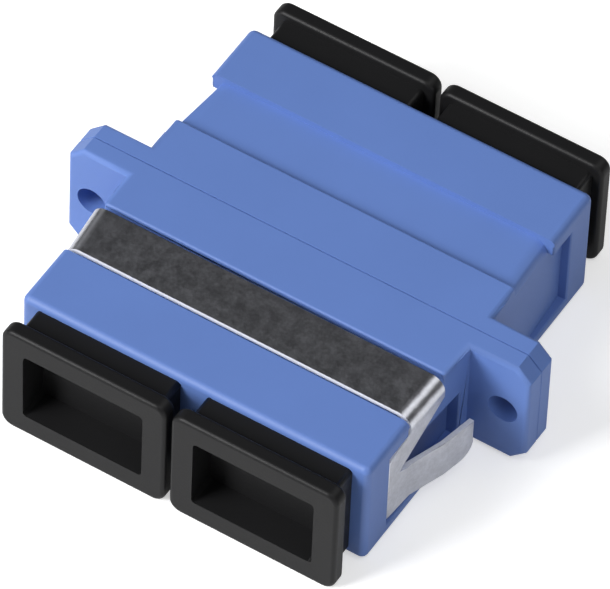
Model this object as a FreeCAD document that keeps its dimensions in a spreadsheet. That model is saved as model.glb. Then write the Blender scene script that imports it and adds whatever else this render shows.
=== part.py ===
import FreeCAD, Part
import math
import os
import re
import Sketcher

# Duplex fibre-optic coupler: a flanged plastic housing welded from two halves, a sprung
# steel clip round the front half, a latch insert in each end of each port, a split sleeve
# between them, and a push-in dust cap in each of the four mouths.
#
# Frame, in millimetres: X runs across the two ports, Y along them with the clip at -Y,
# Z up through the top of the clip. The origin is the middle of the flange.

DIMENSIONS = (
    ("body_width", 25.9, "housing, across both ports"),
    ("body_height", 9.0, "housing and flange, top to bottom"),
    ("body_reach", 13.65, "weld plane to a mouth"),
    ("body_round", 0.5, "corner round along the housing"),
    ("mouth_round", 0.35, "round of the rim of a mouth"),
    ("ear_length", 4.4, "ear, housing side to ear tip"),
    ("flange_half", 1.45, "thickness of one half's share of the flange"),
    ("flange_chamfer", 1.05, "corners of the ears"),
    ("flange_round", 0.35, "edge round of the ears"),
    ("weld_groove", 0.06, "chamfer of both halves along the weld"),
    ("hole_inset", 1.85, "ear tip to the middle of its mounting hole"),
    ("hole_diameter", 2.2, "mounting hole"),
    ("port_pitch", 12.7, "between the two port axes"),
    ("port_width", 9.1, "port, inside"),
    ("port_height", 7.5, "port, inside"),
    ("port_round", 0.4, "corner round inside a port"),
    ("key_width", 2.4, "key slot in the floor of a port"),
    ("key_length", 6.0, "key slot, from the mouth"),
    ("seat_start", 4.3, "flange end of the ramp that the clip lies on"),
    ("seat_lead", 0.12, "depth of the ramp at that end"),
    ("seat_end", 8.8, "step at the deep end of the ramp"),
    ("seat_depth", 0.45, "depth of the ramp at that step"),
    ("seat_ease", 0.3, "extra corner round of the ramp over the inside of the clip's bend"),
    ("side_depth", 0.66, "depth of the side seat at its far wall"),
    ("side_reach", 11.0, "far wall of the side seat"),
    ("side_ceiling", 1.35, "roof over the far part of the side seat"),
    ("side_rim", 1.0, "rim left under the side seat"),
    ("relief_depth", 0.42, "pocket that a spring tab presses into"),
    ("relief_start", 2.4, "flange end of that pocket"),
    ("relief_end", 8.6, "far end of that pocket"),
    ("relief_top", 0.8, "top of that pocket, above the middle"),
    ("sheet", 0.4, "thickness of the clip"),
    ("sheet_gap", 0.07, "air between the clip and the housing"),
    ("sheet_bend", 0.7, "inside radius of the clip's bends"),
    ("clip_start", 4.9, "flange edge of the clip's strip"),
    ("clip_end", 8.5, "front edge of the clip's strip"),
    ("leg_reach", 10.75, "front edge of a clip leg"),
    ("leg_shoulder", 1.0, "drop to the sloping front of a leg"),
    ("leg_slope", 0.9, "height of that slope"),
    ("leg_neck", 1.2, "drop to the sloping back of a leg"),
    ("leg_width", 1.22, "front edge of a leg to its inner corner, where its tab starts"),
    ("window_top", 0.33, "height of that corner above the middle"),
    ("leg_foot", 3.35, "lower edge of a leg, below the middle"),
    ("tab_overlap", 0.1, "how far a spring tab starts inside its leg"),
    ("tab_flat", 1.23, "root of a tab that stays in its leg's plane"),
    ("tab_knee", 5.7, "where a spring tab starts to lean back, from the weld"),
    ("tab_rise", 0.95, "how far that place stands out from the root"),
    ("tab_tip", 3.1, "free end of a spring tab"),
    ("tab_flare", 1.5, "how far the free end stands out from the root"),
    ("tab_top", -0.2, "upper edge of a tab, above the middle"),
    ("tab_dip", 0.93, "run of the slope from the leg's inner corner down to that edge"),
    ("tab_round", 1.2, "round of a tab's lower corner"),
    ("plate_width", 10.6, "base plate of a latch insert"),
    ("plate_thickness", 0.8, "base plate of a latch insert"),
    ("fit_gap", 0.1, "air round a loosely fitted piece"),
    ("holder_diameter", 4.6, "tube that holds the split sleeve"),
    ("holder_bore", 3.3, "bore of that tube"),
    ("holder_mouth", 3.0, "lip that keeps the sleeve in"),
    ("holder_lip", 0.5, "thickness of that lip"),
    ("sleeve_length", 11.4, "split sleeve, end to end"),
    ("sleeve_diameter", 3.2, "split sleeve, outside"),
    ("sleeve_bore", 2.5, "split sleeve, inside"),
    ("sleeve_slit", 0.5, "slit along the sleeve"),
    ("hook_reach", 8.7, "weld plane to the tip of a latch hook"),
    ("hook_offset", 3.1, "port axis to the inner face of a hook arm"),
    ("hook_thickness", 0.8, "latch hook arm"),
    ("hook_width", 3.4, "latch hook arm, top to bottom"),
    ("hook_barb", 0.6, "height of the barb"),
    ("hook_nose", 1.5, "length of the barb's sloping nose"),
    ("hook_land", 0.5, "flat behind that nose"),
    ("cap_width", 12.35, "dust cap flange"),
    ("cap_height", 9.4, "dust cap flange"),
    ("cap_flange", 1.2, "dust cap flange thickness"),
    ("cap_corner", 0.9, "corner round of the flange"),
    ("cap_edge", 0.3, "edge round of the flange"),
    ("neck_width", 10.8, "shoulder that stops against the mouth"),
    ("neck_height", 8.0, "shoulder that stops against the mouth"),
    ("neck_length", 1.8, "mouth to the flange"),
    ("neck_round", 0.35, "corner round of the shoulder"),
    ("grip_width", 8.95, "pocket in the cap's outer face"),
    ("grip_height", 5.85, "pocket in the cap's outer face"),
    ("grip_depth", 2.3, "pocket in the cap's outer face"),
    ("grip_round", 0.3, "corner round of that pocket"),
    ("plug_gap", 0.1, "air between a cap's plug and the port"),
    ("plug_length", 4.4, "part of a cap inside the port"),
    ("plug_wall", 0.9, "wall of the hollow plug"),
)

FLANGE_WIDTH = "(body_width + 2 * ear_length)"
HOLE_SPACING = f"({FLANGE_WIDTH} - 2 * hole_inset)"
WINDOW_REACH = "(leg_reach - leg_width)"
TAB_ROOT = f"({WINDOW_REACH} + tab_overlap)"
TAB_CREASE = f"({WINDOW_REACH} - tab_flat)"
SEAT_ROUND = "(sheet_bend + seat_ease)"
BEND_OUTSIDE = "(sheet_bend + sheet)"

# How far a cutting shape reaches past the surface it cuts, and how near two places are one.
OVERCUT = 1
SAME_PLACE = 0.02

FRONT = -1
REAR = 1
ENDS = (("front", FRONT), ("rear", REAR))
SIDES = (("left", -1), ("right", 1))

doc = FreeCAD.newDocument("FibreAdapter")
sheet = doc.addObject("Spreadsheet::Sheet", "Dimensions")
for row, (alias, size, meaning) in enumerate(DIMENSIONS, start=1):
    sheet.set(f"A{row}", meaning)
    sheet.set(f"B{row}", str(size))
    sheet.setAlias(f"B{row}", alias)
doc.recompute()

ALIAS = re.compile(r"\b(" + "|".join(alias for alias, _, _ in DIMENSIONS) + r")\b")


def cells(expression):
    """The expression with each dimension's name turned into its cell."""
    return ALIAS.sub(r"Dimensions.\1", str(expression))


def value(expression):
    """What an expression comes to now, in millimetres."""
    return float(sheet.evalExpression(cells(expression)))


def bind(item, prop, expression):
    item.setExpression(prop, cells(expression))


# ---------------------------------------------------------------- sketches

def new_body(name):
    body = doc.addObject("PartDesign::Body", name)
    body.Label = name
    return body


def new_sketch(body, name, plane, height="0"):
    """A sketch on one of the body's origin planes, raised along that plane's normal."""
    sketch = body.newObject("Sketcher::SketchObject", name)
    features = body.Origin.OriginFeatures
    sketch.AttachmentSupport = [(next(item for item in features if item.Role == plane), "")]
    sketch.MapMode = "FlatFace"
    bind(sketch, "AttachmentOffset.Base.z", height)
    return sketch


def section(body, name, along="0"):
    """A sketch across the ports, X to the right and Z up, at a place along Y."""
    return new_sketch(body, name, "XZ_Plane", f"-1 * ({along})")


def pin_point(sketch, geometry, end, across, up):
    """Holds one point of a sketch at two expressions, measured from the origin."""
    for kind, expression in (("DistanceX", across), ("DistanceY", up)):
        rule = Sketcher.Constraint(kind, -1, 1, geometry, end, value(expression))
        bind(sketch, f"Constraints[{sketch.addConstraint(rule)}]", expression)


def outline(sketch, corners):
    """A closed outline of straight lines through corners given as expressions."""
    spots = [FreeCAD.Vector(value(across), value(up), 0) for across, up in corners]
    count = len(spots)
    first = sketch.GeometryCount
    for index, spot in enumerate(spots):
        sketch.addGeometry(Part.LineSegment(spot, spots[(index + 1) % count]), False)
    for index in range(count):
        following = (index + 1) % count
        joint = Sketcher.Constraint("Coincident", first + index, 2, first + following, 1)
        sketch.addConstraint(joint)
    for index, (across, up) in enumerate(corners):
        pin_point(sketch, first + index, 1, across, up)


def rectangle(sketch, middle, width, height, low=None):
    """A rectangle about a middle, or standing on a low edge when one is given."""
    left, right = f"{middle} - ({width}) / 2", f"{middle} + ({width}) / 2"
    bottom = f"-({height}) / 2" if low is None else low
    top = f"({height}) / 2" if low is None else f"{low} + ({height})"
    outline(sketch, ((left, bottom), (right, bottom), (right, top), (left, top)))


def rounded_rectangle(sketch, middle, width, height, radius):
    """A rectangle about (middle, 0) whose corners are arcs."""
    first = sketch.GeometryCount
    half_w, half_h, round_size = value(width) / 2, value(height) / 2, value(radius)
    corners = ((1, 1, 0), (-1, 1, 90), (-1, -1, 180), (1, -1, 270))
    upward = FreeCAD.Vector(0, 0, 1)
    arcs = []
    for right, up, turn in corners:
        centre = FreeCAD.Vector(
            value(middle) + right * (half_w - round_size), up * (half_h - round_size), 0)
        circle = Part.Circle(centre, upward, round_size)
        start = math.radians(turn)
        arcs.append(Part.ArcOfCircle(circle, start, start + math.pi / 2))
    for arc in arcs:
        sketch.addGeometry(arc, False)
    for index in range(4):
        leave, arrive = arcs[index].EndPoint, arcs[(index + 1) % 4].StartPoint
        line = sketch.addGeometry(Part.LineSegment(leave, arrive), False)
        sketch.addConstraint(Sketcher.Constraint("Tangent", first + index, 2, line, 1))
        following = first + (index + 1) % 4
        sketch.addConstraint(Sketcher.Constraint("Tangent", line, 2, following, 1))
    for index, (right, up, _) in enumerate(corners):
        across = f"{middle} + {right} * (({width}) / 2 - ({radius}))"
        pin_point(sketch, first + index, 3, across, f"{up} * (({height}) / 2 - ({radius}))")
        rule = Sketcher.Constraint("Radius", first + index, round_size)
        bind(sketch, f"Constraints[{sketch.addConstraint(rule)}]", radius)


def circle(sketch, across, diameter):
    spot = FreeCAD.Vector(value(across), 0, 0)
    ring = sketch.addGeometry(Part.Circle(spot, FreeCAD.Vector(0, 0, 1), value(diameter) / 2), False)
    pin_point(sketch, ring, 3, across, "0")
    rule = Sketcher.Constraint("Diameter", ring, value(diameter))
    bind(sketch, f"Constraints[{sketch.addConstraint(rule)}]", diameter)


# ---------------------------------------------------------------- features

def pad(body, sketch, length, backwards=False):
    feature = body.newObject("PartDesign::Pad", sketch.Name + "Pad")
    feature.Profile = sketch
    feature.Reversed = backwards
    bind(feature, "Length", length)
    doc.recompute()
    return feature


def centred(kind, body, sketch, length):
    """A pad or a pocket that runs the same way on both sides of its sketch."""
    feature = body.newObject("PartDesign::" + kind, sketch.Name + kind)
    feature.Profile = sketch
    feature.SideType = "Symmetric"
    bind(feature, "Length", length)
    doc.recompute()
    return feature


def pocket(body, sketch, length, backwards=False):
    """A cut that must take material away, whichever way it is told to point."""
    before = body.Shape.Volume
    feature = body.newObject("PartDesign::Pocket", sketch.Name + "Pocket")
    feature.Profile = sketch
    feature.Reversed = backwards
    bind(feature, "Length", length)
    doc.recompute()
    if not body.Shape.Volume < before:
        raise RuntimeError(f"{feature.Name} cuts nothing")
    return feature


def dress(kind, body, name, size, wanted):
    """A fillet or a chamfer on every edge of the body's tip that is wanted."""
    base = body.Tip
    edges = [f"Edge{i}" for i, edge in enumerate(base.Shape.Edges, start=1) if wanted(edge)]
    if not edges:
        raise RuntimeError(f"{name} finds no edge")
    feature = body.newObject("PartDesign::" + kind, name)
    feature.Base = (base, edges)
    bind(feature, "Radius" if kind == "Fillet" else "Size", size)
    doc.recompute()
    if feature.Shape.isNull():
        raise RuntimeError(f"{name} fails on {len(edges)} edges")
    return feature


def lies_at(item, place, axis="y"):
    """Whether the whole edge or face lies in the plane where that axis has that value."""
    low, high = {
        "x": (item.BoundBox.XMin, item.BoundBox.XMax),
        "y": (item.BoundBox.YMin, item.BoundBox.YMax),
        "z": (item.BoundBox.ZMin, item.BoundBox.ZMax),
    }[axis]
    return abs(low - place) < SAME_PLACE and abs(high - place) < SAME_PLACE


def towards(end):
    """Whether a feature on a section sketch is reversed to run away from the weld."""
    return end == REAR


# ---------------------------------------------------------------- housing

def flange_outline(sketch):
    """The ears' outline: a wide rectangle with its four corners cut off."""
    wide, tall, cut = f"{FLANGE_WIDTH} / 2", "body_height / 2", "flange_chamfer"
    outline(sketch, (
        (f"-{wide} + {cut}", f"-{tall}"), (f"{wide} - {cut}", f"-{tall}"),
        (wide, f"-{tall} + {cut}"), (wide, f"{tall} - {cut}"),
        (f"{wide} - {cut}", tall), (f"-{wide} + {cut}", tall),
        (f"-{wide}", f"{tall} - {cut}"), (f"-{wide}", f"-{tall} + {cut}"),
    ))


def add_shell(body, end):
    """The flange with its rounded ears, and the block that both ports run through."""
    ears = section(body, "Ears")
    flange_outline(ears)
    pad(body, ears, "flange_half", towards(end))
    face = end * value("flange_half")
    dress("Fillet", body, "EarRound", "flange_round", lambda edge: lies_at(edge, face))
    block = section(body, "Block")
    rounded_rectangle(block, "0", "body_width", "body_height", "body_round")
    pad(body, block, "body_reach", towards(end))
    mouth = end * value("body_reach")
    dress("Fillet", body, "MouthRound", "mouth_round", lambda edge: lies_at(edge, mouth))
    dress("Chamfer", body, "WeldGroove", "weld_groove", lambda edge: lies_at(edge, 0))


def cut_ports(body, end):
    """Both ports, the seats of their latch inserts, the key slots and the ear holes."""
    ports = section(body, "Ports")
    seats = section(body, "InsertSeats")
    for _, side in SIDES:
        middle = f"{side} * port_pitch / 2"
        rounded_rectangle(ports, middle, "port_width", "port_height", "port_round")
        rectangle(seats, middle, "plate_width + 2 * fit_gap", "port_height")
    pocket(body, ports, "body_reach", not towards(end))
    pocket(body, seats, "plate_thickness", not towards(end))
    keys = section(body, "KeySlots", f"{end} * body_reach")
    for _, side in SIDES:
        middle = f"{side} * port_pitch / 2"
        rectangle(keys, middle, "key_width", "body_height / 2", low=f"-body_height / 2 - {OVERCUT}")
    pocket(body, keys, "key_length", towards(end))
    holes = section(body, "EarHoles")
    for _, side in SIDES:
        circle(holes, f"{side} * {HOLE_SPACING} / 2", "hole_diameter")
    pocket(body, holes, "flange_half", not towards(end))


def cut_clip_seat(body, end):
    """A ramp across the top, down to a step, with its two ends rounded for the clip's bends."""
    ramp = new_sketch(body, "ClipRamp", "YZ_Plane")
    sky = f"body_height / 2 + {OVERCUT}"
    outline(ramp, (
        (f"{end} * seat_start", ramp_height("seat_start")), (f"{end} * seat_end", ramp_height("seat_end")),
        (f"{end} * seat_end", sky), (f"{end} * seat_start", sky),
    ))
    centred("Pocket", body, ramp, f"body_width + 2 * {OVERCUT}")
    for label, side in SIDES:
        near = seat_corner(body, "NearCorner" + label, side, end, "seat_start")
        far = seat_corner(body, "FarCorner" + label, side, end, "seat_end")
        rounding = body.newObject("PartDesign::SubtractiveLoft", "SeatRound" + label)
        rounding.Profile = near
        rounding.Sections = [far]
        rounding.Ruled = True
        doc.recompute()


def seat_corner(body, name, side, end, place):
    """What lies outside the ramp's round corner, at a distance from the weld plane."""
    corner = section(body, name, f"{end} * {place}")
    wall = f"(body_width / 2 - {side_depth_at(place)})"
    middle_x, middle_z = f"({wall} - {SEAT_ROUND})", f"({ramp_height(place)} - {SEAT_ROUND})"
    radius = value(SEAT_ROUND)
    centre = FreeCAD.Vector(side * value(middle_x), value(middle_z), 0)
    ring = Part.Circle(centre, FreeCAD.Vector(0, 0, 1), radius)
    start = 0 if side > 0 else math.pi / 2
    arc = corner.addGeometry(Part.ArcOfCircle(ring, start, start + math.pi / 2), False)
    wall_end, top_end = (1, 2) if side > 0 else (2, 1)
    air, sky = f"{side} * ({wall} + {OVERCUT})", f"body_height / 2 + {OVERCUT}"
    spots = (
        (f"{side} * {wall}", middle_z), (air, middle_z), (air, sky),
        (f"{side} * {middle_x}", sky), (f"{side} * {middle_x}", ramp_height(place)),
    )
    points = [FreeCAD.Vector(value(across), value(up), 0) for across, up in spots]
    lines = [corner.addGeometry(Part.LineSegment(*pair), False) for pair in zip(points, points[1:])]
    joints = [(arc, wall_end, lines[0], 1), (arc, top_end, lines[-1], 2)]
    joints += [(before, 2, after, 1) for before, after in zip(lines, lines[1:])]
    for joint in joints:
        corner.addConstraint(Sketcher.Constraint("Coincident", *joint))
    for line, (across, up) in zip(lines, spots):
        pin_point(corner, line, 1, across, up)
    pin_point(corner, lines[-1], 2, *spots[-1])
    rule = Sketcher.Constraint("Radius", arc, radius)
    bind(corner, f"Constraints[{corner.addConstraint(rule)}]", SEAT_ROUND)
    return corner


def ramp_height(place):
    """Height of the ramp at a distance from the weld plane."""
    share = f"({place} - seat_start) / (seat_end - seat_start)"
    return f"(body_height / 2 - seat_lead - (seat_depth - seat_lead) * {share})"


def side_depth_at(place):
    """How deep the sloping side seat is at a distance from the weld plane."""
    return f"side_depth * ({place} - flange_half) / (side_reach - flange_half)"


def cut_side_seats(body, end):
    """A sloping seat down each side for the clip's leg, roofed at its far end."""
    for label, side in SIDES:
        wall, air = f"{side} * body_width / 2", f"{side} * (body_width / 2 + {OVERCUT})"
        upper = new_sketch(body, "UpperSeat" + label, "XY_Plane", "-body_height / 2 + side_rim")
        outline(upper, (
            (wall, f"{end} * flange_half"), (air, f"{end} * flange_half"),
            (air, f"{end} * seat_end"), (wall, f"{end} * seat_end"),
            (f"{wall} - {side} * {side_depth_at('seat_end')}", f"{end} * seat_end"),
        ))
        pocket(body, upper, "body_height", True)
        lower = new_sketch(body, "LowerSeat" + label, "XY_Plane", "-body_height / 2 + side_rim")
        outline(lower, (
            (wall, f"{end} * flange_half"), (air, f"{end} * flange_half"),
            (air, f"{end} * side_reach"), (wall, f"{end} * side_reach"),
            (f"{wall} - {side} * side_depth", f"{end} * side_reach"),
        ))
        pocket(body, lower, "body_height - side_rim - side_ceiling", True)


def cut_tab_reliefs(body):
    """A deeper pocket in each side seat, which a spring tab presses into."""
    for label, side in SIDES:
        inner = f"{side} * (body_width / 2 - {side_depth_at('relief_end')} - relief_depth)"
        outer = f"{side} * (body_width / 2 + {OVERCUT})"
        relief = new_sketch(body, "TabRelief" + label, "XY_Plane", "-body_height / 2 + side_rim")
        outline(relief, (
            (inner, "-relief_start"), (outer, "-relief_start"),
            (outer, "-relief_end"), (inner, "-relief_end"),
        ))
        pocket(body, relief, "relief_top + body_height / 2 - side_rim", True)


def housing(name, end):
    body = new_body(name)
    add_shell(body, end)
    cut_ports(body, end)
    cut_clip_seat(body, end)
    cut_side_seats(body, end)
    if end == FRONT:
        cut_tab_reliefs(body)
    return body


# ---------------------------------------------------------------- clip

def leg_face(place):
    """Half-width from the middle to a leg's inner face, at a distance from the weld."""
    return f"(body_width / 2 - {side_depth_at(place)} + sheet_gap)"


def strip_floor(place):
    """Height of the strip's underside at a distance from the weld plane."""
    return f"({ramp_height(place)} + sheet_gap)"


def clip(name):
    """A sheet-steel strap over the top, down both sides, with a tab sprung from each leg."""
    body = new_body(name)
    near, far = strap_section(body, "Near", "clip_start"), strap_section(body, "Far", "leg_reach")
    strap = body.newObject("PartDesign::AdditiveLoft", "Strap")
    strap.Profile = near
    strap.Sections = [far]
    strap.Ruled = True
    doc.recompute()
    dress("Fillet", body, "Bends", BEND_OUTSIDE, lambda edge: is_bend(edge, "sheet"))
    dress("Fillet", body, "BendsInside", "sheet_bend", lambda edge: is_bend(edge, "0"))
    trim_legs(body)
    for label, side in SIDES:
        add_tab(body, label, side)
    dip_tabs(body)
    dress("Fillet", body, "TabCorners", "tab_round", is_tab_corner)
    return body


def strap_section(body, name, place):
    """The strap's section across the ports at a distance from the weld: an arch of sheet."""
    arch = section(body, name + "Section", f"-1 * {place}")
    wide, high = leg_face(place), strip_floor(place)
    outline(arch, (
        (f"-{wide} - sheet", "-leg_foot"), (f"-{wide} - sheet", f"{high} + sheet"),
        (f"{wide} + sheet", f"{high} + sheet"), (f"{wide} + sheet", "-leg_foot"),
        (wide, "-leg_foot"), (wide, high), (f"-{wide}", high), (f"-{wide}", "-leg_foot"),
    ))
    return arch


def is_bend(edge, skin):
    """Whether an edge is the corner between strip and leg, that far out from the inner one."""
    def on_corner(spot):
        across = value(f"{leg_face(-spot.y)} + {skin}")
        height = value(f"{strip_floor(-spot.y)} + {skin}")
        return abs(abs(spot.x) - across) < SAME_PLACE and abs(spot.z - height) < SAME_PLACE

    runs_along = edge.BoundBox.YLength > edge.BoundBox.XLength
    return runs_along and all(on_corner(vertex.Point) for vertex in edge.Vertexes)


def is_tab_corner(edge):
    """Whether an edge is the lower corner at a tab's free end."""
    return lies_at(edge, value("-tab_tip")) and lies_at(edge, value("-leg_foot"), "z")


def trim_legs(body):
    """The leg's shape from the side: it slopes forward, down to the root of its tab."""
    shoulder = f"{strip_floor('clip_end')} - leg_shoulder"
    neck = f"{strip_floor('clip_start')} - leg_neck"
    front = new_sketch(body, "LegFront", "YZ_Plane")
    outline(front, (
        ("-clip_end", "body_height"), ("-clip_end", shoulder),
        ("-leg_reach", f"{shoulder} - leg_slope"), (f"-leg_reach - {OVERCUT}", f"{shoulder} - leg_slope"),
        (f"-leg_reach - {OVERCUT}", "body_height"),
    ))
    centred("Pocket", body, front, "2 * body_width")
    back = new_sketch(body, "LegBack", "YZ_Plane")
    outline(back, (
        ("-clip_start", neck), (f"-{WINDOW_REACH}", "window_top"), (f"-{WINDOW_REACH}", "-body_height"),
        (OVERCUT, "-body_height"), (OVERCUT, neck),
    ))
    centred("Pocket", body, back, "2 * body_width")


def add_tab(body, label, side):
    """The spring tab: it runs back in the leg's plane, stands out, and leans back to its end."""
    root, crease = leg_face(TAB_ROOT), leg_face(TAB_CREASE)
    knee, tip = f"({crease} + tab_rise)", f"({crease} + tab_flare)"
    tab = new_sketch(body, "Tab" + label, "XY_Plane", "-leg_foot")
    outline(tab, (
        (f"{side} * {root}", f"-{TAB_ROOT}"), (f"{side} * {crease}", f"-{TAB_CREASE}"),
        (f"{side} * {knee}", "-tab_knee"), (f"{side} * {tip}", "-tab_tip"),
        (f"{side} * ({tip} + sheet)", "-tab_tip"), (f"{side} * ({knee} + sheet)", "-tab_knee"),
        (f"{side} * ({crease} + sheet)", f"-{TAB_CREASE}"), (f"{side} * ({root} + sheet)", f"-{TAB_ROOT}"),
    ))
    pad(body, tab, "leg_foot + window_top")


def dip_tabs(body):
    """Slopes both tabs down from their legs' inner corners, which leaves a pointed notch."""
    notch = new_sketch(body, "Notch", "YZ_Plane")
    outline(notch, (
        (f"-{WINDOW_REACH}", "window_top"), (f"-{WINDOW_REACH} + tab_dip", "tab_top"),
        (OVERCUT, "tab_top"), (OVERCUT, "window_top + leg_neck"),
    ))
    centred("Pocket", body, notch, "2 * body_width")


# ---------------------------------------------------------------- inside the ports

def latch_insert(name, end, side):
    """A base plate with a tube for the split sleeve and two hooked arms."""
    middle = f"{side} * port_pitch / 2"
    body = new_body(name)
    plate = section(body, "Plate")
    rectangle(plate, middle, "plate_width", "port_height - 2 * fit_gap")
    pad(body, plate, "plate_thickness", towards(end))
    tube = section(body, "Tube")
    circle(tube, middle, "holder_diameter")
    pad(body, tube, "sleeve_length / 2 + holder_lip", towards(end))
    bore = section(body, "Bore")
    circle(bore, middle, "holder_bore")
    pocket(body, bore, "sleeve_length / 2", not towards(end))
    mouth = section(body, "Mouth")
    circle(mouth, middle, "holder_mouth")
    pocket(body, mouth, "body_reach", not towards(end))
    for label, hand in SIDES:
        arm = new_sketch(body, "Hook" + label, "XY_Plane", "-hook_width / 2")
        inner = f"{middle} + {hand} * hook_offset"
        outer = f"{middle} + {hand} * (hook_offset + hook_thickness)"
        barb = f"{middle} + {hand} * (hook_offset - hook_barb)"
        heel = "hook_reach - hook_nose - hook_land"
        outline(arm, (
            (inner, "0"), (outer, "0"), (outer, f"{end} * hook_reach"), (inner, f"{end} * hook_reach"),
            (barb, f"{end} * (hook_reach - hook_nose)"), (barb, f"{end} * ({heel})"),
            (inner, f"{end} * ({heel})"),
        ))
        pad(body, arm, "hook_width")
    return body


def split_sleeve(name, side):
    """The slit ceramic tube that lines two ferrules up."""
    middle = f"{side} * port_pitch / 2"
    body = new_body(name)
    tube = section(body, "Tube")
    circle(tube, middle, "sleeve_diameter")
    circle(tube, middle, "sleeve_bore")
    centred("Pad", body, tube, "sleeve_length")
    slit = section(body, "Slit")
    rectangle(slit, middle, "sleeve_slit", "sleeve_diameter", low="0")
    centred("Pocket", body, slit, "2 * sleeve_length")
    return body


# ---------------------------------------------------------------- dust caps

def dust_cap(name, end, side):
    """A hollow plug with a shoulder that stops on the mouth and a flange to pull it by."""
    middle = f"{side} * port_pitch / 2"
    body = new_body(name)
    flange = section(body, "Flange", f"{end} * (body_reach + neck_length)")
    rounded_rectangle(flange, middle, "cap_width", "cap_height", "cap_corner")
    pad(body, flange, "cap_flange", towards(end))
    near = end * value("body_reach + neck_length")
    far = near + end * value("cap_flange")
    dress("Fillet", body, "FlangeRound", "cap_edge",
          lambda edge: lies_at(edge, near) or lies_at(edge, far))
    neck = section(body, "Neck", f"{end} * body_reach")
    rounded_rectangle(neck, middle, "neck_width", "neck_height", "neck_round")
    pad(body, neck, "neck_length + cap_edge", towards(end))
    plug = section(body, "Plug", f"{end} * (body_reach - plug_length)")
    plug_width, plug_height = "port_width - 2 * plug_gap", "port_height - 2 * plug_gap"
    rounded_rectangle(plug, middle, plug_width, plug_height, "port_round + plug_gap")
    pad(body, plug, "plug_length + neck_length", towards(end))
    hollow = section(body, "Hollow", f"{end} * (body_reach - plug_length)")
    rectangle(hollow, middle, f"{plug_width} - 2 * plug_wall", f"{plug_height} - 2 * plug_wall")
    pocket(body, hollow, "plug_length", not towards(end))
    grip = section(body, "Grip", f"{end} * (body_reach + neck_length + cap_flange)")
    rounded_rectangle(grip, middle, "grip_width", "grip_height", "grip_round")
    pocket(body, grip, "grip_depth", towards(end))
    return body


# ---------------------------------------------------------------- the whole

def build_all():
    parts = [housing(f"{label}_housing", end) for label, end in ENDS]
    parts.append(clip("mounting_clip"))
    for end_label, end in ENDS:
        for side_label, side in SIDES:
            parts.append(latch_insert(f"latch_insert_{end_label}_{side_label}", end, side))
            parts.append(dust_cap(f"dust_cap_{end_label}_{side_label}", end, side))
    for side_label, side in SIDES:
        parts.append(split_sleeve(f"alignment_sleeve_{side_label}", side))
    return parts


def check(parts):
    doc.recompute()
    for item in doc.Objects:
        if "Invalid" in item.State or "Error" in item.State:
            raise RuntimeError(f"{item.Name} is {item.State}")
    for part in parts:
        built = [item for item in part.Group if item.isDerivedFrom("PartDesign::Feature")]
        if any(item.Shape.isNull() for item in built):
            raise RuntimeError(f"{part.Label} has a feature that fails")
        if len(part.Shape.Solids) != 1 or not part.Shape.isValid():
            raise RuntimeError(f"{part.Label} isn't one valid solid")


def export(parts):
    os.makedirs("parts", exist_ok=True)
    for part in parts:
        part.Shape.exportStep(f"parts/{part.Label}.step")
        box = part.Shape.BoundBox
        print(f"{part.Label:26s} {part.Shape.Volume:9.2f} mm3  "
              f"{box.XLength:6.2f} {box.YLength:6.2f} {box.ZLength:6.2f}")


parts = build_all()
check(parts)
export(parts)
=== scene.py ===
import math

import bmesh
import bpy
from bpy.props import FloatProperty, FloatVectorProperty, PointerProperty
from mathutils import Matrix, Vector


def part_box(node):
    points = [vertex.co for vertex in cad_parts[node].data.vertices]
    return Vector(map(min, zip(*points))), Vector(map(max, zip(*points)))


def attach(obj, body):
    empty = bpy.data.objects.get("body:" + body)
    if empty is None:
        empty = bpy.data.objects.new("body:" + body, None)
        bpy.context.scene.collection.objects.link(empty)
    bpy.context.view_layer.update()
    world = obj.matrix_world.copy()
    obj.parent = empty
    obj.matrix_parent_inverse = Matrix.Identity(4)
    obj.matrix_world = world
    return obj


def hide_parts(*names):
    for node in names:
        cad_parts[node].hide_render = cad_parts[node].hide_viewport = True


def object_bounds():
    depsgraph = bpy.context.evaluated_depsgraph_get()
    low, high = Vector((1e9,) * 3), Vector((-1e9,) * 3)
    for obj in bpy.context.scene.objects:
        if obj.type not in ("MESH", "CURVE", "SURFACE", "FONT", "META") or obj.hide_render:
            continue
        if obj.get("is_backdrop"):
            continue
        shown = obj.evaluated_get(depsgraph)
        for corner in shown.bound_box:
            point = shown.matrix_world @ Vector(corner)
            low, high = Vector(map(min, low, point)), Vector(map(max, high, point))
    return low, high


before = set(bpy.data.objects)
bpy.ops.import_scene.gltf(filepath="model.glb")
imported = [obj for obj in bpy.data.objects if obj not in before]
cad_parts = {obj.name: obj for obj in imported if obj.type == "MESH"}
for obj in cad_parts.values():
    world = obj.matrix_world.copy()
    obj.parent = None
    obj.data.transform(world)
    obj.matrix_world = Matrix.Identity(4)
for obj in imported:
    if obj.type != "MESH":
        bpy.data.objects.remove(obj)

bl_info = {
    "name": "Duplex Fibre Adapter",
    "version": (1, 0, 0),
    "blender": (4, 5, 0),
    "location": "3D View > Sidebar > Adapter",
    "description": "Dresses a duplex fibre adapter and lights it in a small studio",
    "category": "Object",
}

MM = 0.001
ENDS = ("front", "rear")
SIDES = ("left", "right")
INSERTS = tuple(f"latch_insert_{end}_{side}" for end in ENDS for side in SIDES)
SLEEVES = tuple(f"alignment_sleeve_{side}" for side in SIDES)

# Points closer than this count as being at one place.
NEAR = 0.02 * MM

# Degrees of turn: an edge past the first is rounded, the edge of a step is past the second,
# and one past the third shows as a crease in the shading.
SHARP = 35
STEEP = 60
CREASE = 28

# The body of the housing: its cross-section, that section's corner round, and the round of
# the rim of its mouths.
BODY_WIDTH = 25.9 * MM
BODY_HEIGHT = 9.0 * MM
BODY_ROUND = 0.5 * MM
RIM_ROUND = 0.35 * MM

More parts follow.
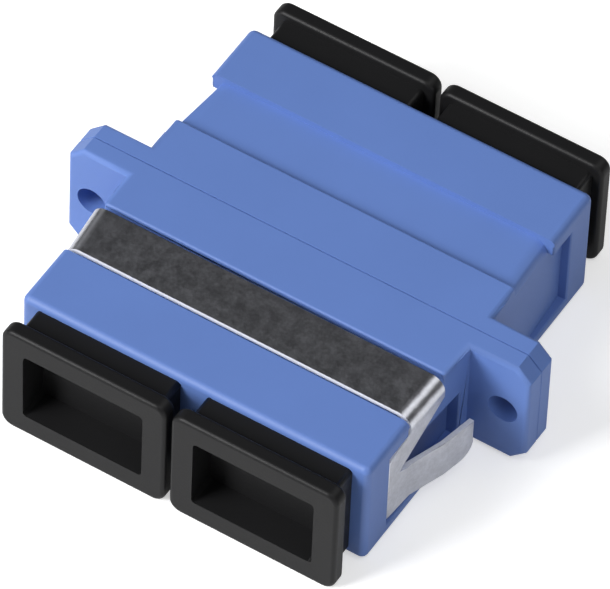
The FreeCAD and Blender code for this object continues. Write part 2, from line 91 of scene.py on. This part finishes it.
# How far the flat top and sides reach from the middle, up to the corner round.
FLAT_WIDTH = BODY_WIDTH / 2 - BODY_ROUND
FLAT_HEIGHT = BODY_HEIGHT / 2 - BODY_ROUND

# A point that is further than this past the body's side is on an ear.
EAR_START = 1 * MM

# The chamfer of each half at the weld.
GROOVE = 0.06 * MM

# Where the clip's seat starts, from the weld, how deep its first step is sunk, and how far
# that step's foot stands out from its top.
SEAT_START = 4.3 * MM
STEP_DEPTH = 0.5 * MM
STEP_LEAN = 0.1 * MM

# How far below the top of the clip its strip and bends reach, and the attribute that tells
# the sheet's punched edges.
STRIP_DROP = 1.6 * MM
TORN = "torn"

# How thick a dust cap's flange is.
FLANGE = 1.2 * MM


# ---------------------------------------------------------------- colour and settings

def linear(code):
    """An sRGB hex code as linear red, green and blue."""
    channels = [int(code[i:i + 2], 16) / 255 for i in (1, 3, 5)]
    return tuple(c / 12.92 if c <= 0.04045 else ((c + 0.055) / 1.055) ** 2.4 for c in channels)


class AdapterSizes(bpy.types.PropertyGroup):
    """Sizes that the frame leaves to the finish."""
    edge_round: FloatProperty(
        name="Edge round", description="Softness of the housing's moulded edges",
        default=0.14 * MM, min=0, unit="LENGTH")
    rim_round: FloatProperty(
        name="Rim round", description="Softness of the rim of the mouths",
        default=0.49 * MM, min=0, unit="LENGTH")
    roll_off: FloatProperty(
        name="Roll off", description="Softness of the step down to the clip's seat",
        default=0.2 * MM, min=0, unit="LENGTH")
    groove_depth: FloatProperty(
        name="Groove depth", description="How much deeper the weld's groove is than its chamfers",
        default=0.16 * MM, min=0, unit="LENGTH")
    small_round: FloatProperty(
        name="Small round", description="Softness of the small mouldings' edges",
        default=0.05 * MM, min=0, unit="LENGTH")
    cap_round: FloatProperty(
        name="Cap round", description="Softness of the back edge of a dust cap's flange",
        default=0.35 * MM, min=0, unit="LENGTH")
    burr_round: FloatProperty(
        name="Burr round", description="Rounding left on the sheet's punched edges",
        default=0.06 * MM, min=0, unit="LENGTH")


class AdapterFinish(bpy.types.PropertyGroup):
    """Colours of the mouldings and the sheet."""
    housing: FloatVectorProperty(
        name="Housing", description="Blue moulding compound", subtype="COLOR",
        default=linear("#5F7CBC"), min=0, max=1)
    cap: FloatVectorProperty(
        name="Dust caps", description="Black moulding compound", subtype="COLOR",
        default=linear("#1A1A1B"), min=0, max=1)
    steel: FloatVectorProperty(
        name="Clip", description="Rolled stainless steel", subtype="COLOR",
        default=linear("#D8DAE2"), min=0, max=1)
    insert: FloatVectorProperty(
        name="Latch inserts", description="Natural moulding compound", subtype="COLOR",
        default=linear("#DEDDD6"), min=0, max=1)
    sleeve: FloatVectorProperty(
        name="Sleeves", description="Zirconia", subtype="COLOR",
        default=linear("#F0EEE8"), min=0, max=1)


class AdapterStage(bpy.types.PropertyGroup):
    """The studio round the adapter."""
    azimuth: FloatProperty(
        name="Azimuth", description="Turn of the camera from the front",
        default=math.radians(30.04), subtype="ANGLE")
    elevation: FloatProperty(
        name="Elevation", description="Height of the camera over the floor",
        default=math.radians(50.57), subtype="ANGLE")
    roll: FloatProperty(
        name="Roll", description="Lean of the camera", default=math.radians(-2.68), subtype="ANGLE")
    distance: FloatProperty(
        name="Distance", description="Camera to the middle of the flange",
        default=573.2 * MM, unit="LENGTH")
    lens: FloatProperty(name="Lens", description="Focal length in millimetres", default=528.85)


def settings():
    """The three groups of settings, on the scene."""
    scene = bpy.context.scene
    return scene.adapter_sizes, scene.adapter_finish, scene.adapter_stage


# ---------------------------------------------------------------- materials

def add_node(tree, kind, inputs=None, **properties):
    """Adds a node with its properties, and sets or links each input, by name or by number."""
    node = tree.nodes.new(kind)
    for name, setting in properties.items():
        setattr(node, name, setting)
    for name, source in (inputs or {}).items():
        if isinstance(source, bpy.types.NodeSocket):
            tree.links.new(source, node.inputs[name])
        else:
            node.inputs[name].default_value = source
    return node


def across(size_mm):
    """The scale of a pattern whose grains are that many millimetres across."""
    return 1 / (size_mm * MM)


def new_material(name):
    """An empty node material and its tree."""
    material = bpy.data.materials.new(name)
    material.use_nodes = True
    tree = material.node_tree
    tree.nodes.clear()
    return material, tree


def own_place(tree):
    """The place on the piece itself, which its patterns follow."""
    return add_node(tree, "ShaderNodeTexCoord").outputs["Object"]


def shades(tree, factor, first, second):
    """A colour that runs from the first to the second with a factor."""
    mix = add_node(
        tree, "ShaderNodeMix", {"Factor": factor, "A": first, "B": second}, data_type="RGBA")
    return mix.outputs["Result"]


def blended(tree, factor, first, second):
    """A number that runs from the first to the second with a factor."""
    mix = add_node(tree, "ShaderNodeMix", {0: factor, 2: first, 3: second})
    return mix.outputs[0]


def tint(colour, amount):
    """The colour times an amount, as red, green, blue and alpha."""
    return (*(min(1, channel * amount) for channel in colour), 1)


def surface(tree, shader):
    """Makes a shader the material's surface."""
    add_node(tree, "ShaderNodeOutputMaterial", {"Surface": shader.outputs["BSDF"]})


def moulded_plastic(name, colour, grain_mm, depth_mm, matt, cloud=0.05, shine=0.5):
    """An injection-moulded thermoplastic: a fine even grain from the spark-eroded tool,
    which spreads its highlights, and faint clouds where the melt flowed in."""
    material, tree = new_material(name)
    place = own_place(tree)
    spread = 0.06
    clouds = add_node(tree, "ShaderNodeTexNoise", {
        "Vector": place, "Scale": across(6), "Detail": 3.0, "Roughness": 0.55})
    grain = add_node(tree, "ShaderNodeTexNoise", {
        "Vector": place, "Scale": across(grain_mm), "Detail": 3.0, "Roughness": 0.6})
    colours = shades(tree, clouds.outputs["Fac"], tint(colour, 1 - cloud), tint(colour, 1 + cloud))
    roughness = add_node(tree, "ShaderNodeMapRange", {
        "Value": grain.outputs["Fac"], "To Min": matt - spread, "To Max": matt + spread})
    bump = add_node(tree, "ShaderNodeBump", {
        "Height": grain.outputs["Fac"], "Strength": 1.0, "Distance": depth_mm * MM})
    shader = add_node(tree, "ShaderNodeBsdfPrincipled", {
        "Base Color": colours, "Roughness": roughness.outputs["Result"],
        "Normal": bump.outputs["Normal"], "Specular IOR Level": shine})
    surface(tree, shader)
    return material


def rolled_stainless(name, colour):
    """Rolled stainless spring sheet, punched to shape: a mirror clouded by very fine pits, which
    shows the room softly, and torn edges that are matt, with a painted pale highlight on them."""
    material, tree = new_material(name)
    place = own_place(tree)
    torn = add_node(tree, "ShaderNodeAttribute", attribute_name=TORN).outputs["Fac"]
    clouds = add_node(tree, "ShaderNodeTexNoise", {
        "Vector": place, "Scale": across(0.9), "Detail": 4.0, "Roughness": 0.7}).outputs["Fac"]
    pits = add_node(tree, "ShaderNodeTexNoise", {
        "Vector": place, "Scale": across(0.25), "Detail": 3.0, "Roughness": 0.6}).outputs["Fac"]
    cloudy = add_node(tree, "ShaderNodeMapRange", {
        "Value": blended(tree, 0.4, clouds, pits), "From Min": 0.38, "From Max": 0.62})
    rolled = shades(tree, cloudy.outputs["Result"], tint(colour, 0.88), tint(colour, 1.08))
    # Painted highlight: the torn edges are matt and are given a pale colour, up to twice the
    # steel's, for the bright line that their cut catches.
    sheared_and_painted_highlight = shades(tree, pits, tint(colour, 1.1), tint(colour, 2.2))
    polish = add_node(tree, "ShaderNodeMapRange", {
        "Value": cloudy.outputs["Result"], "To Min": 0.29, "To Max": 0.35})
    roughness = blended(tree, torn, polish.outputs["Result"], 0.7)
    shader = add_node(tree, "ShaderNodeBsdfPrincipled", {
        "Base Color": shades(tree, torn, rolled, sheared_and_painted_highlight), "Roughness": roughness,
        "Metallic": blended(tree, torn, 1.0, 0.0)})
    surface(tree, shader)
    return material


def ground_zirconia(name, colour):
    """Zirconia ground and polished: smooth, white and hard, with fine grinding rings."""
    material, tree = new_material(name)
    rings = add_node(tree, "ShaderNodeMapping", {
        "Vector": own_place(tree), "Scale": (0.1, 1, 0.1)})
    grind = add_node(tree, "ShaderNodeTexNoise", {
        "Vector": rings.outputs["Vector"], "Scale": across(0.1), "Detail": 2.0})
    bump = add_node(tree, "ShaderNodeBump", {
        "Height": grind.outputs["Fac"], "Strength": 0.4, "Distance": 0.003 * MM})
    colours = shades(tree, grind.outputs["Fac"], tint(colour, 0.96), tint(colour, 1))
    shader = add_node(tree, "ShaderNodeBsdfPrincipled", {
        "Base Color": colours, "Roughness": 0.16, "Normal": bump.outputs["Normal"], "IOR": 2.1})
    surface(tree, shader)
    return material


# ---------------------------------------------------------------- making pieces

def copy_of(node):
    """A bmesh of a frame part, its loose triangles merged and its flat faces made whole."""
    shape = bmesh.new()
    shape.from_mesh(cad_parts[node].data)
    bmesh.ops.remove_doubles(shape, verts=shape.verts, dist=0.002 * MM)
    bmesh.ops.dissolve_limit(
        shape, angle_limit=math.radians(0.5), verts=shape.verts, edges=shape.edges)
    return shape


def long_edges(shape, least, shortest=0.6 * MM):
    """The shape's longer outward edges that turn further than a number of degrees."""
    return [
        edge for edge in shape.edges
        if edge.is_manifold and edge.is_convex and edge.calc_length() > shortest
        and edge.calc_face_angle() > math.radians(least)
    ]


def soften(shape, edges, width, segments=3):
    """Rounds edges of a shape."""
    bmesh.ops.bevel(
        shape, geom=edges, offset=width, offset_type="OFFSET", segments=segments, profile=0.5,
        affect="EDGES", material=-1, clamp_overlap=False)


def finish_piece(shape, name, material, body, node):
    """Turns a bmesh into a piece that rides on a body and stands for a frame part."""
    mesh = bpy.data.meshes.new(name)
    shape.to_mesh(mesh)
    shape.free()
    mesh.shade_smooth()
    piece = bpy.data.objects.new(name, mesh)
    bpy.context.scene.collection.objects.link(piece)
    piece.data.materials.append(material)
    weighted = piece.modifiers.new("Flat faces", "WEIGHTED_NORMAL")
    weighted.keep_sharp = True
    mesh.set_sharp_from_angle(angle=math.radians(CREASE))
    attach(piece, body)
    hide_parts(node)


# ---------------------------------------------------------------- housing

def widen_rim(shape, round_size):
    """Widens the round of the mouths' rim, inwards from the outline and back from the face."""
    mouth = max(abs(vert.co.y) for vert in shape.verts)
    factor = round_size / RIM_ROUND
    for vert in shape.verts:
        back = mouth - abs(vert.co.y)
        beyond = Vector((
            max(abs(vert.co.x) - FLAT_WIDTH, 0), 0, max(abs(vert.co.z) - FLAT_HEIGHT, 0)))
        inset = BODY_ROUND - beyond.length
        if max(back, inset) < RIM_ROUND + NEAR:
            outward = beyond.normalized()
            shift = inset * (factor - 1)
            vert.co.x -= math.copysign(outward.x * shift, vert.co.x)
            vert.co.z -= math.copysign(outward.z * shift, vert.co.z)
            vert.co.y = math.copysign(mouth - back * factor, vert.co.y)


def sink_seat_start(shape, width):
    """Rounds the low step at the start of the clip's seat, and sinks its foot below the sheet."""
    top = max(vert.co.z for vert in shape.verts)
    start = [vert for vert in shape.verts if abs(abs(vert.co.y) - SEAT_START) < NEAR]
    step = [
        edge for edge in long_edges(shape, STEEP, shortest=0)
        if all(vert in start and vert.co.z > 0 for vert in edge.verts)
    ]
    for vert in start:
        if abs(vert.co.x) < FLAT_WIDTH - NEAR and NEAR < top - vert.co.z < STEP_DEPTH:
            vert.co.z = top - STEP_DEPTH
            vert.co.y += math.copysign(STEP_LEAN, vert.co.y)
    soften(shape, step, width, segments=4)


def deepen_groove(shape, depth):
    """Deepens the small groove that both halves leave along the weld, above and below."""
    foot = BODY_HEIGHT / 2 - GROOVE
    for vert in shape.verts:
        if abs(vert.co.y) < NEAR and abs(abs(vert.co.z) - foot) < NEAR:
            vert.co.z -= math.copysign(depth, vert.co.z)


def moulded_edges(shape):
    """The housing's longer sharp edges, without those of the small groove at the weld and the
    short ones that run along the ears' cut corners."""
    chosen = []
    for edge in long_edges(shape, SHARP):
        first, last = (vert.co for vert in edge.verts)
        on_ear = min(abs(first.x), abs(last.x)) > BODY_WIDTH / 2 + EAR_START
        along = abs(first.y - last.y) > 0.9 * edge.calc_length()
        if max(abs(first.y), abs(last.y)) > 2 * GROOVE and not (on_ear and along):
            chosen.append(edge)
    return chosen


class ADAPTER_OT_housings(bpy.types.Operator):
    """Both halves of the housing, with their moulded edges softened"""
    bl_idname = "adapter.housings"
    bl_label = "Housing halves"

    def execute(self, context):
        sizes, finish, _ = settings()
        blue = moulded_plastic("Satin_PBT_blue", finish.housing, 0.16, 0.005, 0.46, shine=0.38)
        for end in ENDS:
            node = f"{end}_housing"
            shape = copy_of(node)
            widen_rim(shape, sizes.rim_round)
            sink_seat_start(shape, sizes.roll_off)
            deepen_groove(shape, sizes.groove_depth)
            soften(shape, moulded_edges(shape), sizes.edge_round)
            finish_piece(shape, f"{end}_half", blue, "adapter", node)
        return {"FINISHED"}


def mark_torn_edges(shape):
    """Notes on each face whether it is a punched edge of the sheet or its rolled skin. The
    skin of the legs and tabs faces sideways, and that of the strip faces up and down."""
    torn = shape.faces.layers.float.new(TORN)
    _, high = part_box("mounting_clip")
    for face in shape.faces:
        sideways = abs(face.normal.x) > 0.4
        endways = abs(face.normal.y) > 0.6
        on_strip = face.calc_center_median().z > high.z - STRIP_DROP
        if not sideways and (endways or not on_strip):
            face[torn] = 1


class ADAPTER_OT_clip(bpy.types.Operator):
    """The sprung steel clip"""
    bl_idname = "adapter.clip"
    bl_label = "Mounting clip"

    def execute(self, context):
        sizes, finish, _ = settings()
        steel = rolled_stainless("Rolled_stainless_sheet", finish.steel)
        shape = copy_of("mounting_clip")
        soften(shape, long_edges(shape, SHARP), sizes.burr_round)
        mark_torn_edges(shape)
        finish_piece(shape, "clip_sheet", steel, "adapter", "mounting_clip")
        return {"FINISHED"}


class ADAPTER_OT_inserts(bpy.types.Operator):
    """The latch inserts that hold a plug by its ears"""
    bl_idname = "adapter.inserts"
    bl_label = "Latch inserts"

    def execute(self, context):
        sizes, finish, _ = settings()
        natural = moulded_plastic("Natural_PBT", finish.insert, 0.2, 0.004, 0.4)
        for node in INSERTS:
            shape = copy_of(node)
            soften(shape, long_edges(shape, SHARP), sizes.small_round)
            finish_piece(shape, f"{node}_moulding", natural, "adapter", node)
        return {"FINISHED"}


class ADAPTER_OT_sleeves(bpy.types.Operator):
    """The split sleeves that line two ferrules up"""
    bl_idname = "adapter.sleeves"
    bl_label = "Alignment sleeves"

    def execute(self, context):
        _, finish, _ = settings()
        zirconia = ground_zirconia("Ground_zirconia", finish.sleeve)
        for node in SLEEVES:
            finish_piece(
                copy_of(node), f"{node}_ceramic", zirconia, "adapter", node)
        return {"FINISHED"}


def edges_across(shape, place):
    """Sharp outward edges, however short, that lie at one distance from the weld."""
    return [
        edge for edge in long_edges(shape, SHARP, shortest=0)
        if all(abs(abs(vert.co.y) - place) < NEAR for vert in edge.verts)
    ]


class ADAPTER_OT_caps(bpy.types.Operator):
    """The four push-in dust caps"""
    bl_idname = "adapter.caps"
    bl_label = "Dust caps"

    def execute(self, context):
        sizes, finish, _ = settings()
        black = moulded_plastic(
            "Satin_ABS_black", finish.cap, 0.16, 0.005, 0.42, cloud=0.12, shine=0.2)
        for end in ENDS:
            for side in SIDES:
                cap = f"cap_{end}_{side}"
                node = f"dust_{cap}"
                shape = copy_of(node)
                face = max(abs(vert.co.y) for vert in shape.verts)
                soften(shape, edges_across(shape, face - FLANGE), sizes.cap_round, segments=4)
                soften(shape, long_edges(shape, SHARP), sizes.small_round)
                finish_piece(shape, f"{cap}_moulding", black, cap, node)
        return {"FINISHED"}


# ---------------------------------------------------------------- studio

# The lamps: the place of each and its width, in metres, and its power.
LAMPS = {
    "Key": ((-0.4, -0.6, 0.4), 0.3, 4.8),
    "High": ((-0.35, -0.4, 0.55), 0.35, 3.0),
    "Top": ((0.25, -0.1, 0.6), 0.35, 0.8),
    "Left": ((-0.55, 0.15, 0.4), 0.35, 0.12),
    "Right": ((0.6, -0.25, 0.25), 0.35, 0.45),
}

# The softbox that only glossy pieces see: where it is, its level, and the cosines of the
# angles at which it starts and is full.
SOFTBOX = Vector((0.42, 0.55, 0.72))
SOFTBOX_LEVEL = 2.0
SOFTBOX_START = 0.93
SOFTBOX_FULL = 0.98

# The room that glossy pieces see: its levels at the horizon and overhead, and the upward part
# of a direction from which it has the second. Everything else gets the ambient level.
HORIZON = 0.25
CEILING = 0.02
CEILING_START = 0.25
AMBIENT = 0.24

# How far the floor reaches, and how far it is lifted towards white, as it is seen and as it
# is mirrored.
FLOOR_REACH = 3.0
FLOOR_LIFT = 0.5
MIRRORED_LIFT = 0.16

# How far the camera's line of sight passes from the middle of the flange, to the camera's
# right and up.
AIM_RIGHT = -0.149 * MM
AIM_UP = -0.303 * MM


def add_lamp(name, place, size, power):
    """A soft square white lamp that faces the adapter."""
    lamp = bpy.data.lights.new(name, "AREA")
    lamp.shape = "SQUARE"
    lamp.size = size
    lamp.energy = power
    holder = bpy.data.objects.new(name, lamp)
    bpy.context.scene.collection.objects.link(holder)
    spot = Vector(place)
    turn = spot.to_track_quat("Z", "Y").to_matrix().to_4x4()
    holder.matrix_world = Matrix.Translation(spot) @ turn


def add_camera(stage):
    """A long lens, looking down on the clip's end from the right."""
    turn, lift = stage.azimuth, stage.elevation
    out, high = math.cos(lift), math.sin(lift)
    back = Vector((math.sin(turn) * out, -math.cos(turn) * out, high))
    right = Vector((math.cos(turn), math.sin(turn), 0))
    up = back.cross(right)
    lean = Matrix.Rotation(stage.roll, 3, "Z")
    axes = lean @ Matrix((right, up, back))
    aim = Vector((AIM_RIGHT, AIM_UP, stage.distance))
    lens = bpy.data.cameras.new("Camera")
    lens.lens = stage.lens
    camera = bpy.data.objects.new("Camera", lens)
    bpy.context.scene.collection.objects.link(camera)
    camera.matrix_world = Matrix.Translation(axes.transposed() @ aim) @ axes.transposed().to_4x4()
    bpy.context.scene.camera = camera


def add_floor(height):
    """A wide pale floor."""
    shape = bmesh.new()
    bmesh.ops.create_grid(shape, x_segments=1, y_segments=1, size=FLOOR_REACH)
    bmesh.ops.translate(shape, verts=shape.verts, vec=(0, 0, height))
    mesh = bpy.data.meshes.new("floor")
    shape.to_mesh(mesh)
    shape.free()
    floor = bpy.data.objects.new("floor", mesh)
    bpy.context.scene.collection.objects.link(floor)
    mesh.materials.append(pale_floor())
    floor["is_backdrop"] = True


def pale_floor():
    """Matt white card. What the camera and glossy pieces see of it is lifted towards white,
    and it keeps a soft shadow."""
    material, tree = new_material("White_card")
    card = add_node(tree, "ShaderNodeBsdfPrincipled", {
        "Base Color": (0.8, 0.8, 0.8, 1), "Roughness": 0.9})
    path = add_node(tree, "ShaderNodeLightPath").outputs
    mirrored = add_node(tree, "ShaderNodeMath", {
        0: path["Is Glossy Ray"], 1: path["Is Transmission Ray"]}, operation="MAXIMUM")
    lift = add_node(tree, "ShaderNodeMath", {
        0: mirrored.outputs["Value"], 1: MIRRORED_LIFT}, operation="MULTIPLY")
    glow = add_node(tree, "ShaderNodeEmission", {
        "Strength": blended(tree, path["Is Camera Ray"], lift.outputs["Value"], FLOOR_LIFT)})
    both = add_node(tree, "ShaderNodeAddShader", {
        0: card.outputs["BSDF"], 1: glow.outputs["Emission"]})
    add_node(tree, "ShaderNodeOutputMaterial", {"Surface": both.outputs["Shader"]})
    return material


def add_surroundings():
    """A white room to the eye. Glossy pieces see it dim, under a dark ceiling with one softbox
    behind the rear right corner, and everything else gets an even light."""
    world = bpy.data.worlds.new("Studio")
    bpy.context.scene.world = world
    world.use_nodes = True
    tree = world.node_tree
    tree.nodes.clear()
    path = add_node(tree, "ShaderNodeLightPath").outputs
    direction = add_node(tree, "ShaderNodeTexCoord").outputs["Generated"]
    height = add_node(tree, "ShaderNodeSeparateXYZ", {"Vector": direction}).outputs["Z"]
    room = add_node(tree, "ShaderNodeMapRange", {
        "Value": height, "From Max": CEILING_START, "To Min": HORIZON, "To Max": CEILING})
    facing = add_node(tree, "ShaderNodeVectorMath", {
        0: direction, 1: SOFTBOX.normalized()}, operation="DOT_PRODUCT")
    softbox = add_node(tree, "ShaderNodeMapRange", {
        "Value": facing.outputs["Value"], "From Min": SOFTBOX_START,
        "From Max": SOFTBOX_FULL, "To Max": SOFTBOX_LEVEL})
    shown = add_node(tree, "ShaderNodeMath", {
        0: room.outputs["Result"], 1: softbox.outputs["Result"]}, operation="ADD")
    glossy = blended(tree, path["Is Glossy Ray"], AMBIENT, shown.outputs["Value"])
    seen = blended(tree, path["Is Camera Ray"], glossy, 1.0)
    light = add_node(tree, "ShaderNodeBackground", {"Strength": seen})
    add_node(tree, "ShaderNodeOutputWorld", {"Surface": light.outputs["Background"]})


class ADAPTER_OT_stage(bpy.types.Operator):
    """The floor, the lamps, the surroundings and the camera"""
    bl_idname = "adapter.stage"
    bl_label = "Studio"

    def execute(self, context):
        _, _, stage = settings()
        low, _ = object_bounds()
        add_floor(low[2])
        add_surroundings()
        for name, (place, size, power) in LAMPS.items():
            add_lamp(name, place, size, power)
        add_camera(stage)
        context.scene.view_settings.view_transform = "Standard"
        return {"FINISHED"}


# ---------------------------------------------------------------- add-on

class ADAPTER_PT_panel(bpy.types.Panel):
    """Lists the pieces and their settings"""
    bl_label = "Fibre adapter"
    bl_idname = "ADAPTER_PT_panel"
    bl_space_type = "VIEW_3D"
    bl_region_type = "UI"
    bl_category = "Adapter"

    def draw(self, context):
        for group in settings():
            box = self.layout.box()
            for name in group.__annotations__:
                box.prop(group, name)
        for operator in OPERATORS:
            self.layout.operator(operator.bl_idname)


OPERATORS = (
    ADAPTER_OT_housings, ADAPTER_OT_clip, ADAPTER_OT_inserts, ADAPTER_OT_sleeves,
    ADAPTER_OT_caps, ADAPTER_OT_stage)
GROUPS = (
    ("adapter_sizes", AdapterSizes), ("adapter_finish", AdapterFinish),
    ("adapter_stage", AdapterStage))


def register():
    for name, group in GROUPS:
        bpy.utils.register_class(group)
        setattr(bpy.types.Scene, name, PointerProperty(type=group))
    for shown in (*OPERATORS, ADAPTER_PT_panel):
        bpy.utils.register_class(shown)


def unregister():
    for shown in (ADAPTER_PT_panel, *reversed(OPERATORS)):
        bpy.utils.unregister_class(shown)
    for name, group in reversed(GROUPS):
        delattr(bpy.types.Scene, name)
        bpy.utils.unregister_class(group)


def main():
    register()
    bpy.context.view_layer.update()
    bpy.ops.adapter.housings()
    bpy.ops.adapter.clip()
    bpy.ops.adapter.inserts()
    bpy.ops.adapter.sleeves()
    bpy.ops.adapter.caps()
    bpy.ops.adapter.stage()


if __name__ == "__main__":
    main()
